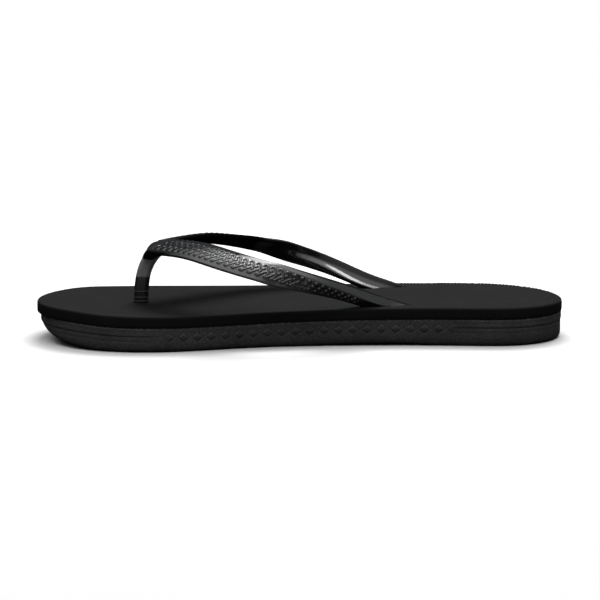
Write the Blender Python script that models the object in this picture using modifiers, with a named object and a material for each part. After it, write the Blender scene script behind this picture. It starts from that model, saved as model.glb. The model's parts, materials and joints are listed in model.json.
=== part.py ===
"""Flip flop for a right foot, about EU 38 to 39, as an assembly of its real pieces.

Frame: +X from toe to heel, +Y towards the outer side of the foot, +Z up. The origin is under
the middle of the sole, on the ground. Design values are in millimetres and become metres
through MM.

The sole is a thin footbed glued on a thicker outsole, and it bends across the ball of the foot.
Rigid solids cannot bend, so each layer is a front half and a rear half with a hairline slit at
the bend line. The toe post stands in the front half. The strap is one hairpin-shaped band whose
two ends go down into the rear half. Three plugs under the sole hold the post and both ends.
"""

import math

import bmesh
import bpy
import numpy as np

MM = 0.001

# Sole
LENGTH = 255.0
TOE_X = -LENGTH / 2
HEEL_X = LENGTH / 2
TOE_CENTRE_X = -72.0
TOE_SKEW = -1.0
HEEL_CENTRE_X = 88.0
HEEL_SKEW = -5.0
END_ARC_POINTS = 9
INNER_EDGE = [(TOE_CENTRE_X, -47.0), (-56, -45.0), (-38, -39.7), (-15, -33.3), (10, -30.2),
              (38, -29.2), (66, -29.2), (HEEL_CENTRE_X, -30.6)]
OUTER_EDGE = [(TOE_CENTRE_X, 45.2), (-56, 46.4), (-38, 47.0), (-15, 46.5), (10, 45.8),
              (38, 45.6), (66, 45.6), (HEEL_CENTRE_X, 44.6)]
TOP_HEIGHT = [(TOE_X, 18.5), (-112, 18.6), (-90, 17.4), (-40, 16.9), (40, 18.2), (HEEL_X, 18.6)]
OUTSOLE_TOE_UNDERCUT = [(TOE_X, 1.3), (-108, 0.0), (HEEL_X, 0.0)]
UNDERSIDE_HEIGHT = [(TOE_X, 4.6), (-115, 3.0), (-100, 0.4), (-88, 0.0), (0, 0.0),
                    (25, 0.6), (48, 0.9), (62, 0.0), (HEEL_X, 0.0)]
FOOTBED_THICKNESS = 5.4
LAYER_GAP = 0.3
SIDE_SEGMENTS = 44
OUTLINE_OVERLAP = 3
CAP_FRACTIONS = (0.1, 0.35, 0.65, 0.9)

# Rounded edges of the two layers: inset from the outline, and height from the face beside it
FOOTBED_LOWER_EDGE = [(0.3, 0.0), (0.0, 0.4)]
FOOTBED_UPPER_EDGE = [(0.0, -0.9), (0.25, -0.3), (0.9, 0.0)]
OUTSOLE_LOWER_EDGE = [(2.2, 0.0), (1.1, 0.5), (0.7, 1.8)]
OUTSOLE_UPPER_EDGE = [(0.5, -1.0), (0.9, 0.0)]

# Bend line across the ball of the foot
BEND_X = -34.0
SLIT_HALF_WIDTH = 0.3
CUT_TOLERANCE = 1e-7

# Toe post, in the gap between the first two toes: height, lean back from its foot, length along X
# and length along Y. It widens up to a shoulder, and a narrower head fits under the strap.
POST_X = -76.9
POST_Y = -4.5
POST_STATIONS = [
    (18.0, 0.0, 6.8, 4.6),
    (24.0, 0.3, 7.0, 4.6),
    (29.5, 1.0, 7.0, 4.8),
    (34.5, 2.5, 7.5, 5.4),
    (38.3, 4.5, 8.2, 6.2),
    (38.8, 7.0, 5.0, 4.6),
    (42.4, 8.0, 4.4, 4.2),
]
POST_RING_POINTS = 20
POST_SECTION_POWER = 0.6
POST_CLEARANCE = 0.5
POST_SLOT_REACH = 2.0

# Strap: stations from the nose over the toe post to the end of one arm. Each gives the distance
# behind the post, the half spread from the strap's middle line, the height, the roll of the band
# (0 lies flat, 90 stands on its edge), its width, its thickness and how far its outer edge curls
# down over the post.
MIDDLE_LINE_START = (-77.0, -4.5)
MIDDLE_LINE_SLOPE = 10.7 / 129.0
STRAP_STATIONS = [
    (9.0, 0.0, 45.2, 8, 17.6, 3.0, 5.0),
    (9.9, 4.1, 45.2, 9, 17.3, 3.0, 4.7),
    (12.3, 7.6, 45.2, 11, 16.9, 3.0, 3.8),
    (25.0, 19.2, 45.2, 15, 16.5, 2.8, 0.0),
    (39.0, 31.5, 43.0, 17, 16.5, 2.8, 0.0),
    (57.0, 41.0, 38.7, 31, 14.0, 3.0, 0.0),
    (77.0, 40.5, 32.9, 88, 10.0, 3.8, 0.0),
    (97.0, 33.0, 26.4, 116, 8.6, 4.6, 0.0),
    (117.0, 26.5, 19.2, 116, 7.8, 5.2, 0.0),
    (125.0, 26.0, 17.2, 105, 6.2, 5.2, 0.0),
    (131.0, 26.0, 15.6, 95, 4.0, 4.6, 0.0),
]
STRAP_RINGS_PER_ARM = 34
STRAP_RING_POINTS = 16
SECTION_POWER = 0.8
CURL_POWER = 2.5
TANGENT_STEP = 0.01
SLOT_CLEARANCE = 0.45
SLOT_START = 0.72
SLOT_RINGS = 11
SLOT_EXTENSION = 0.5

# Plugs under the sole
PLUG_RADIUS = 7.6
PLUG_UNDERSIDE_Z = 1.0
PLUG_HEAD_TOP_Z = 4.0
PLUG_EDGE_BEVEL = 0.6
STEM_RADIUS = 2.6
PLUG_CLEARANCE = 0.35
POCKET_TOP_Z = 20.0
POCKET_BOTTOM_Z = -2.0
TOE_STEM_TOP_Z = 11.3
REAR_STEM_TOP_Z = 12.4
PLUG_STEPS = 32

SHARP_ANGLE = 40

PARTS = "flip_flop"
CUTTERS = "flip_flop_cutters"


def clear_scene():
    for old in list(bpy.data.objects):
        bpy.data.objects.remove(old, do_unlink=True)


def new_collection(name):
    collection = bpy.data.collections.new(name)
    bpy.context.scene.collection.children.link(collection)
    return collection


# Curves through design points


def smooth_profile(points):
    """A curve through (x, value) points that never overshoots between them."""
    xs, ys = np.array(points, float).T
    steps = np.diff(xs)
    slopes = np.diff(ys) / steps
    tangents = np.zeros(len(xs))
    tangents[0], tangents[-1] = slopes[0], slopes[-1]
    for i in range(1, len(xs) - 1):
        before, after = slopes[i - 1], slopes[i]
        if before * after > 0:
            tangents[i] = 2 * before * after / (before + after)

    def value(x):
        x = min(max(x, xs[0]), xs[-1])
        i = min(int(np.searchsorted(xs, x, side="right")) - 1, len(steps) - 1)
        t = (x - xs[i]) / steps[i]
        rise = steps[i] * (tangents[i] * t * (1 - t) ** 2 - tangents[i + 1] * t**2 * (1 - t))
        return float(ys[i] + (ys[i + 1] - ys[i]) * t * t * (3 - 2 * t) + rise)

    return value


def cubic_through(params, points):
    """A natural cubic spline through points of any dimension, as a function of the parameter."""
    t = np.array(params, float)
    p = np.array(points, float)
    h = np.diff(t)
    count = len(t)
    system = np.eye(count)
    right = np.zeros_like(p)
    for i in range(1, count - 1):
        system[i, i - 1 : i + 2] = h[i - 1], 2 * (h[i - 1] + h[i]), h[i]
        right[i] = 6 * ((p[i + 1] - p[i]) / h[i] - (p[i] - p[i - 1]) / h[i - 1])
    bend = np.linalg.solve(system, right)

    def value(u):
        i = min(max(int(np.searchsorted(t, u, side="right")) - 1, 0), count - 2)
        a, b = t[i + 1] - u, u - t[i]
        straight = (p[i] * a + p[i + 1] * b) / h[i]
        curved = bend[i] * (a**3 / h[i] - a * h[i]) + bend[i + 1] * (b**3 / h[i] - b * h[i])
        return straight + curved / 6

    return value


def chord_lengths(points):
    gaps = np.linalg.norm(np.diff(np.array(points, float), axis=0), axis=1)
    return np.concatenate([[0.0], np.cumsum(gaps)])


top_height = smooth_profile(TOP_HEIGHT)
underside_height = smooth_profile(UNDERSIDE_HEIGHT)


# Meshes from rings


def add_object(name, mesh, collection, material=None):
    piece = bpy.data.objects.new(name, mesh)
    collection.objects.link(piece)
    if material:
        mesh.materials.append(material)
    return piece


def mesh_from_bmesh(name, bm):
    bmesh.ops.recalc_face_normals(bm, faces=bm.faces[:])
    mesh = bpy.data.meshes.new(name)
    bm.to_mesh(mesh)
    bm.free()
    mesh.shade_smooth()
    mesh.set_sharp_from_angle(angle=math.radians(SHARP_ANGLE))
    return mesh


def add_ring(bm, points):
    return [bm.verts.new([c * MM for c in point]) for point in points]


def join_rings(bm, lower, upper):
    count = len(lower)
    for i in range(count):
        j = (i + 1) % count
        bm.faces.new((lower[i], lower[j], upper[j], upper[i]))


def loft(name, rings):
    """A closed solid through rings that have the same number of points."""
    bm = bmesh.new()
    loops = [add_ring(bm, ring) for ring in rings]
    for lower, upper in zip(loops, loops[1:]):
        join_rings(bm, lower, upper)
    bm.faces.new(loops[0])
    bm.faces.new(loops[-1])
    return mesh_from_bmesh(name, bm)


def rounded_section(count, power):
    """Unit points of a superellipse: softer than a box, squarer than an ellipse."""
    angles = [2 * math.pi * i / count for i in range(count)]
    return [
        (
            math.copysign(abs(math.cos(a)) ** power, math.cos(a)),
            math.copysign(abs(math.sin(a)) ** power, math.sin(a)),
        )
        for a in angles
    ]


# Sole


def end_arc(centre_x, end_x, inner_y, outer_y, skew):
    """Points on the skewed half ellipse of the toe or the heel, between its two sides."""
    middle_y = (inner_y + outer_y) / 2
    half_width = (outer_y - inner_y) / 2
    points = []
    for i in range(1, END_ARC_POINTS + 1):
        angle = math.pi * (i / (END_ARC_POINTS + 1) - 0.5)
        reach = math.cos(angle)
        x = centre_x + (end_x - centre_x) * reach
        points.append((x, middle_y + half_width * math.sin(angle) + skew * reach))
    return points


def sole_outline():
    """Plan outline from the toe along the inner edge to the heel and back along the outer edge."""
    toe_arc = end_arc(TOE_CENTRE_X, TOE_X, INNER_EDGE[0][1], OUTER_EDGE[0][1], TOE_SKEW)
    heel_arc = end_arc(HEEL_CENTRE_X, HEEL_X, INNER_EDGE[-1][1], OUTER_EDGE[-1][1], HEEL_SKEW)
    apex = END_ARC_POINTS // 2
    inner_side = [*reversed(toe_arc[: apex + 1]), *INNER_EDGE, *heel_arc[:apex]]
    outer_side = [*heel_arc[apex:], *reversed(OUTER_EDGE), *reversed(toe_arc[apex + 1 :])]
    loop = inner_side + outer_side
    wrap = OUTLINE_OVERLAP
    padded = loop[-wrap:] + loop + loop[: wrap + 1]
    params = chord_lengths(padded)
    curve = cubic_through(params, padded)
    toe = params[wrap]
    heel = params[wrap + len(inner_side)]
    back_at_toe = params[wrap + len(loop)]
    inner = np.linspace(toe, heel, SIDE_SEGMENTS, endpoint=False)
    outer = np.linspace(heel, back_at_toe, SIDE_SEGMENTS, endpoint=False)
    return np.array([curve(u) for u in [*inner, *outer]])


def inset_outline(outline, distance, undercut):
    """The outline moved inwards by a distance, and by a further amount that varies along X."""
    along = np.roll(outline, -1, axis=0) - np.roll(outline, 1, axis=0)
    along /= np.linalg.norm(along, axis=1)[:, None]
    inward = np.column_stack([-along[:, 1], along[:, 0]])
    distances = np.array([distance + undercut(x) for x in outline[:, 0]])
    return outline + inward * distances[:, None]


def add_cap(bm, ring, height):
    """Close a sole ring with rows that run from the inner edge to the outer edge."""
    half = len(ring) // 2
    rows = [[ring[0]]]
    for i in range(1, half):
        inner, outer = ring[i], ring[-i]
        middle = [inner.co.lerp(outer.co, fraction) for fraction in CAP_FRACTIONS]
        for point in middle:
            point.z = height(point.x / MM) * MM
        rows.append([inner, *[bm.verts.new(point) for point in middle], outer])
    rows.append([ring[half]])
    for row, following in zip(rows, rows[1:]):
        for i in range(max(len(row), len(following)) - 1):
            corners = [row[min(i, len(row) - 1)], row[min(i + 1, len(row) - 1)]]
            corners += [following[min(i + 1, len(following) - 1)], following[min(i, len(following) - 1)]]
            bm.faces.new(list(dict.fromkeys(corners)))


def sole_layer(name, levels, undercut):
    """A sole layer through levels, bottom to top: an inset and a height that varies along X."""
    outline = sole_outline()
    bm = bmesh.new()
    rings = []
    for inset, height in levels:
        plan = inset_outline(outline, inset, undercut)
        rings.append(add_ring(bm, [(x, y, height(x)) for x, y in plan]))
    for lower, upper in zip(rings, rings[1:]):
        join_rings(bm, lower, upper)
    add_cap(bm, rings[0], levels[0][1])
    add_cap(bm, rings[-1], levels[-1][1])
    return mesh_from_bmesh(name, bm)


def above(height, rise):
    return lambda x: height(x) + rise


def layer_levels(bottom, lower_edge, top, upper_edge):
    lower = [(inset, above(bottom, rise)) for inset, rise in lower_edge]
    upper = [(inset, above(top, rise)) for inset, rise in upper_edge]
    return lower + upper


def footbed_levels():
    bottom = above(top_height, -FOOTBED_THICKNESS)
    return layer_levels(bottom, FOOTBED_LOWER_EDGE, top_height, FOOTBED_UPPER_EDGE)


def outsole_levels():
    top = above(top_height, -FOOTBED_THICKNESS - LAYER_GAP)
    return layer_levels(underside_height, OUTSOLE_LOWER_EDGE, top, OUTSOLE_UPPER_EDGE)


def cut_at_bend(mesh, front):
    """Keep the part of a sole layer in front of the bend line, or behind it."""
    side = -1 if front else 1
    plane_x = (BEND_X + side * SLIT_HALF_WIDTH) * MM
    bm = bmesh.new()
    bm.from_mesh(mesh)
    bmesh.ops.bisect_plane(
        bm,
        geom=bm.verts[:] + bm.edges[:] + bm.faces[:],
        dist=CUT_TOLERANCE,
        plane_co=(plane_x, 0, 0),
        plane_no=(side, 0, 0),
        clear_inner=True,
    )
    rim = [edge for edge in bm.edges if edge.is_boundary]
    bmesh.ops.holes_fill(bm, edges=rim)
    return mesh_from_bmesh(mesh.name, bm)


def sole_half(name, levels, undercut, front, collection, material):
    whole = sole_layer(name, levels, undercut)
    half = cut_at_bend(whole, front)
    bpy.data.meshes.remove(whole)
    half.name = name
    return add_object(name, half, collection, material)


def footbed_half(name, front, collection):
    material = footbed_foam(name + "_foam")
    return sole_half(name, footbed_levels(), lambda x: 0.0, front, collection, material)


def outsole_half(name, front, collection):
    material = outsole_rubber(name + "_rubber")
    undercut = smooth_profile(OUTSOLE_TOE_UNDERCUT)
    return sole_half(name, outsole_levels(), undercut, front, collection, material)


# Strap


def strap_ring_maker():
    """Rings along one arm of the strap, as a function of the share of its length."""
    stations = np.array(STRAP_STATIONS)
    centres = stations[:, :3]
    mirrored = centres[:0:-1] * (1, -1, 1)
    both_arms = np.concatenate([mirrored, centres])
    params = chord_lengths(both_arms)
    params -= params[len(mirrored)]
    centre_at = cubic_through(params, both_arms)
    lengths = params[len(mirrored) :]
    roll_at, width_at, thickness_at, curl_at = (
        smooth_profile(list(zip(lengths, stations[:, column]))) for column in range(3, 7)
    )
    section = rounded_section(STRAP_RING_POINTS, SECTION_POWER)
    up = np.array((0.0, 0.0, 1.0))

    def ring(share, grow=0.0):
        u = share * lengths[-1]
        centre = centre_at(u)
        along = centre_at(u + TANGENT_STEP) - centre_at(u - TANGENT_STEP)
        along /= np.linalg.norm(along)
        outward = np.cross(up, along)
        outward /= np.linalg.norm(outward)
        normal = np.cross(along, outward)
        roll = math.radians(roll_at(u))
        across = math.cos(roll) * outward - math.sin(roll) * normal
        face = math.sin(roll) * outward + math.cos(roll) * normal
        half_width = width_at(u) / 2 + grow
        half_thickness = thickness_at(u) / 2 + grow
        points = []
        for wide, thick in section:
            curl = max(wide, 0.0) ** CURL_POWER * curl_at(u)
            points.append(centre + half_width * wide * across + (half_thickness * thick - curl) * face)
        return points

    return ring


def place_on_strap_line(ring, side):
    """From distance behind the post, half spread and height to the frame's X, Y and Z."""
    start_x, start_y = MIDDLE_LINE_START
    return [(start_x + a, start_y + a * MIDDLE_LINE_SLOPE + side * s, z) for a, s, z in ring]


def strap(collection, material):
    ring = strap_ring_maker()
    shares = [i / STRAP_RINGS_PER_ARM for i in range(STRAP_RINGS_PER_ARM + 1)]
    inner_arm = [place_on_strap_line(ring(share), -1) for share in reversed(shares)]
    outer_arm = [place_on_strap_line(ring(share), 1) for share in shares[1:]]
    return add_object("strap", loft("strap", inner_arm + outer_arm), collection, material)


def strap_slot(name, side, collection):
    """A cutter a little larger than the end of one arm, carried on past the arm's end."""
    ring = strap_ring_maker()
    shares = np.linspace(SLOT_START, 1.0, SLOT_RINGS)
    rings = [np.array(place_on_strap_line(ring(share, SLOT_CLEARANCE), side)) for share in shares]
    past_end = rings[-1] + SLOT_EXTENSION * (rings[-1] - rings[-2])
    return make_cutter(name, loft(name, [*rings, past_end]), collection)


def strap_end(side):
    a, s = STRAP_STATIONS[-1][:2]
    x, y, _ = place_on_strap_line([(a, s, 0.0)], side)[0]
    return x, y


# Toe post


def post_ring(x, length_x, length_y, z):
    section = rounded_section(POST_RING_POINTS, POST_SECTION_POWER)
    return [(x + wide * length_x / 2, POST_Y + thick * length_y / 2, z) for wide, thick in section]


def toe_post(collection, material):
    _, _, foot_x, foot_y = POST_STATIONS[0]
    foot_z = top_height(POST_X) - FOOTBED_THICKNESS + LAYER_GAP
    rings = [post_ring(POST_X, foot_x, foot_y, foot_z)]
    for height, lean, length_x, length_y in POST_STATIONS:
        rings.append(post_ring(POST_X + lean, length_x, length_y, height))
    return add_object("toe_post", loft("toe_post", rings), collection, material)


def toe_post_slot(collection):
    _, _, foot_x, foot_y = POST_STATIONS[0]
    grow = 2 * POST_CLEARANCE
    top = top_height(POST_X)
    heights = (top - FOOTBED_THICKNESS - POST_SLOT_REACH, top + POST_SLOT_REACH)
    rings = [post_ring(POST_X, foot_x + grow, foot_y + grow, z) for z in heights]
    return make_cutter("toe_post_slot", loft("toe_post_slot", rings), collection)


# Plugs


def turned(name, profile, x, y, collection, material=None):
    """A solid turned about an upright axis from (radius, height) points, top to bottom."""
    mesh = bpy.data.meshes.new(name)
    points = [(radius * MM, 0, z * MM) for radius, z in profile]
    edges = [(i, i + 1) for i in range(len(profile) - 1)]
    mesh.from_pydata(points, edges, [])
    piece = add_object(name, mesh, collection, material)
    piece.location = (x * MM, y * MM, 0)
    screw = piece.modifiers.new("Turn", "SCREW")
    screw.steps = PLUG_STEPS
    screw.render_steps = PLUG_STEPS
    screw.use_merge_vertices = True
    screw.merge_threshold = 0.00001
    screw.use_smooth_shade = False
    return piece


def plug_profile(stem_top):
    return [
        (0.0, stem_top),
        (STEM_RADIUS, stem_top),
        (STEM_RADIUS, PLUG_HEAD_TOP_Z),
        (PLUG_RADIUS, PLUG_HEAD_TOP_Z),
        (PLUG_RADIUS, PLUG_UNDERSIDE_Z + PLUG_EDGE_BEVEL),
        (PLUG_RADIUS - PLUG_EDGE_BEVEL, PLUG_UNDERSIDE_Z),
        (0.0, PLUG_UNDERSIDE_Z),
    ]


def plug(name, x, y, stem_top, collection, material):
    return turned(name, plug_profile(stem_top), x, y, collection, material)


def plug_pocket(name, x, y, collection):
    """A cutter for the plug's hole through the outsole and its round recess underneath."""
    hole = STEM_RADIUS + PLUG_CLEARANCE
    recess = PLUG_RADIUS + PLUG_CLEARANCE
    recess_top = PLUG_HEAD_TOP_Z + PLUG_CLEARANCE
    profile = [
        (0.0, POCKET_TOP_Z),
        (hole, POCKET_TOP_Z),
        (hole, recess_top),
        (recess, recess_top),
        (recess, POCKET_BOTTOM_Z),
        (0.0, POCKET_BOTTOM_Z),
    ]
    return hide_cutter(turned(name, profile, x, y, collection))


def make_cutter(name, mesh, collection):
    return hide_cutter(add_object(name, mesh, collection))


def hide_cutter(cutter):
    cutter.hide_render = True
    cutter.display_type = "WIRE"
    return cutter


def cut(piece, *cutters):
    for cutter in cutters:
        boolean = piece.modifiers.new(cutter.name, "BOOLEAN")
        boolean.operation = "DIFFERENCE"
        boolean.solver = "EXACT"
        boolean.object = cutter


# Materials


def principled(name, color, roughness, metallic=0.0):
    material = bpy.data.materials.new(name)
    material.use_nodes = True
    shader = material.node_tree.nodes["Principled BSDF"]
    shader.inputs["Base Color"].default_value = (*color, 1.0)
    shader.inputs["Roughness"].default_value = roughness
    shader.inputs["Metallic"].default_value = metallic
    material.diffuse_color = (*color, 1.0)
    return material


def footbed_foam(name):
    return principled(name, (0.012, 0.012, 0.013), 0.75)


def outsole_rubber(name):
    return principled(name, (0.03, 0.031, 0.032), 0.6)


def strap_rubber(name):
    return principled(name, (0.06, 0.062, 0.065), 0.32, 0.35)


def post_rubber(name):
    return principled(name, (0.045, 0.047, 0.048), 0.5)


def plug_rubber(name):
    return principled(name, (0.03, 0.031, 0.032), 0.55)


def build():
    clear_scene()
    parts = new_collection(PARTS)
    cutters = new_collection(CUTTERS)

    inner_x, inner_y = strap_end(-1)
    outer_x, outer_y = strap_end(1)
    toe_pocket = plug_pocket("toe_plug_pocket", POST_X, POST_Y, cutters)
    inner_pocket = plug_pocket("inner_plug_pocket", inner_x, inner_y, cutters)
    outer_pocket = plug_pocket("outer_plug_pocket", outer_x, outer_y, cutters)

    footbed_front = footbed_half("footbed_front", True, parts)
    footbed_rear = footbed_half("footbed_rear", False, parts)
    outsole_front = outsole_half("outsole_front", True, parts)
    outsole_rear = outsole_half("outsole_rear", False, parts)
    cut(footbed_front, toe_post_slot(cutters))
    cut(
        footbed_rear,
        strap_slot("inner_strap_slot", -1, cutters),
        strap_slot("outer_strap_slot", 1, cutters),
    )
    cut(outsole_front, toe_pocket)
    cut(outsole_rear, inner_pocket, outer_pocket)

    toe_post(parts, post_rubber("toe_post_rubber"))
    strap(parts, strap_rubber("strap_rubber"))
    plug("toe_plug", POST_X, POST_Y, TOE_STEM_TOP_Z, parts, plug_rubber("toe_plug_rubber"))
    plug("inner_plug", inner_x, inner_y, REAR_STEM_TOP_Z, parts, plug_rubber("inner_plug_rubber"))
    plug("outer_plug", outer_x, outer_y, REAR_STEM_TOP_Z, parts, plug_rubber("outer_plug_rubber"))


build()
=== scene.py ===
import json
import math

import bmesh
import bpy
import numpy as np
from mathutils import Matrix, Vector
from mathutils.bvhtree import BVHTree


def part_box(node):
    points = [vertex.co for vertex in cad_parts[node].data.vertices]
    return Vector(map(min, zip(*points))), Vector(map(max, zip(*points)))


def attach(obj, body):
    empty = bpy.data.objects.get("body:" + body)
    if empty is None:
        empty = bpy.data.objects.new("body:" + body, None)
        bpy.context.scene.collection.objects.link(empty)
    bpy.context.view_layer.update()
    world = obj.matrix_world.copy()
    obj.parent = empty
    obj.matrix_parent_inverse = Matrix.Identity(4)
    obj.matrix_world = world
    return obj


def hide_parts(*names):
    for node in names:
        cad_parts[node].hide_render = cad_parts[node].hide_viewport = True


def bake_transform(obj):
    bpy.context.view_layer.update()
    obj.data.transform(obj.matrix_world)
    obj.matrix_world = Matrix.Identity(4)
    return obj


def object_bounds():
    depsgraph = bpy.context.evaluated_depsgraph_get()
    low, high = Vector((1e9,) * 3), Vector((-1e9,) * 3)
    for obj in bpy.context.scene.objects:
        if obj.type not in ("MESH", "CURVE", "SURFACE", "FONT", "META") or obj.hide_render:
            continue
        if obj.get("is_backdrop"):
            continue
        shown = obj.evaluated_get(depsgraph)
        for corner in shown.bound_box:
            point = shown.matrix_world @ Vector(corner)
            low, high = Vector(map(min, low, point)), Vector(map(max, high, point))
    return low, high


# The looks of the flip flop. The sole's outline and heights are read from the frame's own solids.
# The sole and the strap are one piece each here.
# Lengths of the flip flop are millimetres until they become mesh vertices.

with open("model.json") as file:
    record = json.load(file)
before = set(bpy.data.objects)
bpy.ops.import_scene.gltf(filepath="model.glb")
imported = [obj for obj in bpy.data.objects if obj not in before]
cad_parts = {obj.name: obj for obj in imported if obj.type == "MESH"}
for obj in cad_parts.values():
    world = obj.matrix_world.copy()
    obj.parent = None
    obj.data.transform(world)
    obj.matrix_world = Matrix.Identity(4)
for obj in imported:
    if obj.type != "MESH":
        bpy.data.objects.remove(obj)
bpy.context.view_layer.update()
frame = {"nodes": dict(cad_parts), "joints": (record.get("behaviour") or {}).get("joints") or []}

MM = 0.001
REAR = "rear"
FRONT = "front"

# Places in the frame
BEND_X = frame["joints"][0]["pos_m"][0] / MM
SOLE_BLEND_START = BEND_X + 10.0
STRAP_BLEND_START = BEND_X + 40.0
PROBE_Y = 5.0
FOOTBED_PROBE_Z = 14.8
OUTSOLE_PROBE_Z = 8.0

# Reading the sole from the frame
OUTLINE_RAYS = 1440
OUTLINE_SAMPLES = 2048
OUTLINE_SOFTNESS = 2.5
RAY_START = 200.0
HEIGHT_STEP = 2.0
HEIGHT_RAY_START = 50.0
HEIGHT_KERNEL_REACH = 6
HEIGHT_SOFTNESS = 2.0

# Footbed. The edges are (distance outwards, height over the lower or under the upper edge).
WALL_POINTS = 1700
FOOTBED_COLUMNS = 60
FOOTBED_BOTTOM_COLUMNS = 4
FOOTBED_LOWER_EDGE = ((-0.35, 0.0), (-0.1, 0.12), (0.0, 0.4))
FOOTBED_UPPER_EDGE = ((-0.06, 0.75), (-0.2, 0.45), (-0.45, 0.18), (-0.8, 0.04))
FOOTBED_WALL_SHARES = (0.2, 0.4, 0.6, 0.8, 1.0)
FOOTBED_WALL_BULGE = 0.06
FOOTBED_WALL_TOP = 1.1
FOOTBED_RIM_INSET = 1.25

# Grain across the heel
GRAIN_START_X = 30.0
GRAIN_FADE = 14.0
GRAIN_PITCH_X = 1.7
GRAIN_PITCH_Y = 3.4
GRAIN_HEIGHT = 0.28
GRAIN_POWERS = (2.2, 4)
GRAIN_ROW_SHIFT = 0.5
GRAIN_ROW_FREQUENCY = 12.9898
GRAIN_WAVE = 0.35
GRAIN_WAVE_FREQUENCY = 0.71
GRAIN_WAVE_ROW_SHIFT = 2.3

# Outsole. The edges are (height, distance outwards) from the ground and (depth, distance
# outwards) from the seam under the footbed.
OUTSOLE_TOP_COLUMNS = 3
OUTSOLE_COLUMNS = 32
OUTSOLE_WALL_LEVELS = 36
OUTSOLE_LEVEL_CROWDING = 0.22
OUTSOLE_SEAM_GAP = 0.04
OUTSOLE_LOWER_EDGE = (
    (0.0, -1.7), (0.35, -0.95), (1.0, -0.4),
    (2.2, -0.08), (4.0, 0.0), (20.0, 0.0),
)
OUTSOLE_SEAM_EDGE = ((0.0, -0.55), (0.25, -0.2), (0.8, 0.0), (20.0, 0.0))
PATTERN_FROM_GROUND = (0.9, 2.2)
PATTERN_FROM_SEAM = (0.15, 0.7)
OFF_WALL_DEPTH = 30.0
DIAMOND_PITCH = 6.8
DIAMOND_DEPTH = 4.5
DIAMOND_HALF_LENGTH = 2.3
DIAMOND_HALF_HEIGHT = 1.9
DIAMOND_HEIGHT = 0.42
DIAMOND_SLOPE = 3.0
DIAMOND_GROOVE = 0.22
DIAMOND_GROOVE_PLACE = 1.2
DIAMOND_GROOVE_WIDTH = 0.25
DIAMOND_SHADE_REACH = 1.3
DIAMOND_RISE_X = (-65.0, -59.0)
DIAMOND_FALL_X = (70.0, 76.0)
KNURL_PITCH = 1.5
KNURL_HEIGHT = 0.13
KNURL_END = (9.6, 10.2)
KNURL_LOSS_AT_ENDS = 0.75
LEDGE_TOE_ZONE = (-78.0, -62.0)
LEDGE_HEEL_ZONE = (68.0, 80.0)
LEDGE_HEIGHT = 0.28
LEDGE_END = (3.9, 4.4)
LEDGE_GROOVES = ((4.3, 0.25), (6.7, 0.16), (2.1, 0.08))
LEDGE_GROOVE_WIDTH = 0.28
SEAM_ROUGHNESS = 0.1
SEAM_ROUGHNESS_WAVES = (3.1, 1.17)
SEAM_ROUGHNESS_END = (0.2, 1.2)
TREAD_PITCH = 5.0
TREAD_DEPTH = 0.7
TREAD_ZIGZAG_LENGTH = 12.0
TREAD_ZIGZAG_DEPTH = 5.0
TREAD_GROOVE = (0.10, 0.2)

# Plugs. The dished face and the stem's foot are (radius, height) over the plug's base, and the
# rim is (radius beyond the plug's own, height).
PLUG_FACE = ((0.0, 0.7), (3.6, 0.7), (4.2, 0.3), (4.8, 0.05))
PLUG_RIM = (
    (-0.9, 0.0), (-0.35, 0.15), (-0.08, 0.4), (0.0, 0.8),
    (0.0, 2.6), (-0.15, 2.9), (-0.5, 3.0),
)
PLUG_STEM_FOOT = ((3.4, 3.0), (2.8, 3.2), (2.6, 3.8))
PLUG_STEM_RADIUS = 2.6
PLUG_STEM_CHAMFER = 0.4
PLUG_CLEARANCE = 0.35
PLUG_HOLE_BOTTOM_Z = -3.0
PLUG_HOLE_STEP_Z = 4.2
PLUG_HOLE_TOP_Z = 30.0
PLUG_HOLE_STEM_RADIUS = 3.0
TURNED_STEPS = 72

# Strap: distance behind the post, half spread, height, roll, width, thickness and the share of
# the half width that is a bevel along the upper edge. This is the line of the frame's strap, whose
# nose is up to 0.3 mm higher and rolled up to 2 degrees less.
MIDDLE_LINE_START = (-77.0, -4.5)
MIDDLE_LINE_SLOPE = 10.7 / 129.0
STRAP_STATIONS = [
    (9.0, 0.0, 44.9, 10, 17.6, 3.0, 0.14),
    (9.9, 4.1, 44.9, 11, 17.3, 3.0, 0.14),
    (12.3, 7.6, 45.0, 12, 16.9, 3.0, 0.14),
    (25.0, 19.2, 45.2, 15, 16.5, 2.8, 0.14),
    (39.0, 31.5, 43.0, 17, 16.5, 2.8, 0.2),
    (57.0, 41.0, 38.7, 31, 14.0, 3.0, 0.35),
    (77.0, 40.5, 32.9, 88, 10.0, 3.8, 0.45),
    (97.0, 33.0, 26.4, 116, 8.6, 4.6, 0.6),
    (117.0, 26.5, 19.2, 116, 7.8, 5.2, 0.9),
    (125.0, 26.0, 17.2, 105, 6.2, 5.2, 0.9),
    (131.0, 26.0, 15.6, 95, 4.0, 4.6, 0.9),
]
STRAP_TANGENT_STEP = 0.01
NOSE_ROUNDING = 5.0
NOSE_ROUNDING_END = 6.0
NOSE_ROUNDING_POWER = 2.5
NOSE_SKIRT = 3.2
NOSE_SKIRT_RISE = (1.5, 6.0)
NOSE_SKIRT_FALL = (6.5, 14.0)
NOSE_SKIRT_SHARE = 0.84
STRAP_HOLE_LENGTH = 34.0
STRAP_HOLE_RINGS = 40
STRAP_CLEARANCE = 0.2

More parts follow.
